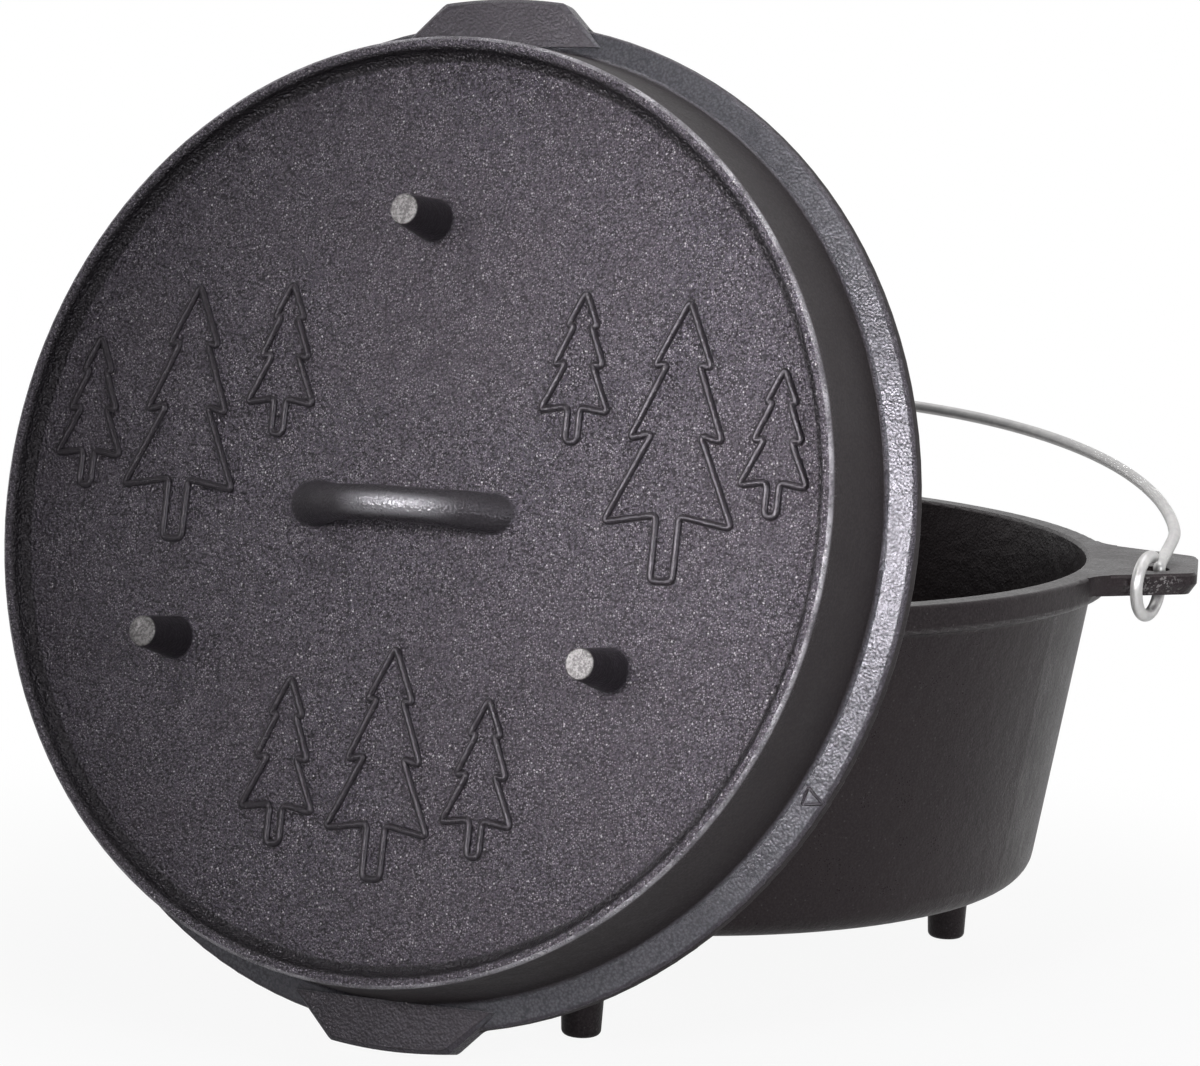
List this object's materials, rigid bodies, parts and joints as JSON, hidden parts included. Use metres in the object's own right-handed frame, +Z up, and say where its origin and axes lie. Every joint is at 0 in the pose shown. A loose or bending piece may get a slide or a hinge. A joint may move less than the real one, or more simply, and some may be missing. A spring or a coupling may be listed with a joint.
{
  "type": "camp dutch oven",
  "caption": "Cast-iron camp dutch oven on stub feet, its deep flanged lid taken off and leaning on the rim, with a wire bail that swings up for carrying it or hanging it over a fire.",
  "frame": {"origin": "middle of the footprint on the floor: the bounding box's centre in X and Y, at the level of the feet", "axes": "+Z up; -Y is the way the leaning lid's outer face looks; +X to the right of that face. The pot's axis is vertical at X 2 mm, Y 7.9 mm"},
  "size_m": [0.3628, 0.3815, 0.3355],
  "materials": {
    "pot_iron": "seasoned, fine sand-cast grain",
    "lid_iron": "seasoned, fine sand-cast grain, bare ground leg ends",
    "bail_wire": "satin zinc plating"
  },
  "bodies": {
    "pot": {"pot": "pot_iron"},
    "lid": {"lid": "lid_iron"},
    "bail": {"bail": "bail_wire"}
  },
  "joints": [
    {"name": "bail_swing", "type": "hinge", "parent": "pot", "child": "bail", "pos_m": [0.002, 0.0079, 0.14495], "axis": [0.974, 0.2267, 0], "range_deg": [0, 100]},
    {"name": "lid_lift", "type": "slide", "parent": "pot", "child": "lid", "axis": [0, -0.9711, 0.2385], "range_m": [0, 0.25]}
  ]
}
